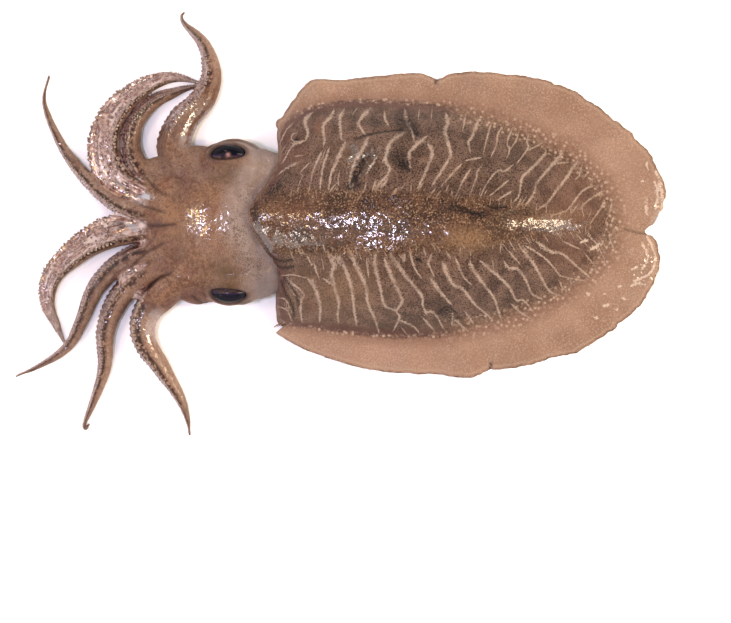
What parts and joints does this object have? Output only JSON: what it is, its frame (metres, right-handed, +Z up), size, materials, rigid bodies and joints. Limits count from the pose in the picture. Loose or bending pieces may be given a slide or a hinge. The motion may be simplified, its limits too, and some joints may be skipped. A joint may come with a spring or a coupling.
{
  "type": "whole raw cuttlefish",
  "caption": "Whole raw cuttlefish lying belly down, a domed finned body with a striped back, rounded head and spread tapering arms with suckers.",
  "frame": {"origin": "centre of the animal's footprint, on the table it lies on", "axes": "+Z up, +X from the arms to the tail, +Y to the animal's right"},
  "size_m": [0.2797, 0.1825, 0.0396],
  "materials": {
    "mantle_skin": "wet, satin, brown with pale zebra stripes and a pale beige fin",
    "head_skin": "wet, satin, mottled tan brown",
    "eye": "wet gloss, dark blue grey"
  },
  "bodies": {
    "root": {"mantle": "mantle_skin", "head": "head_skin", "eye_right": "eye", "eye_left": "eye"}
  },
  "joints": []
}
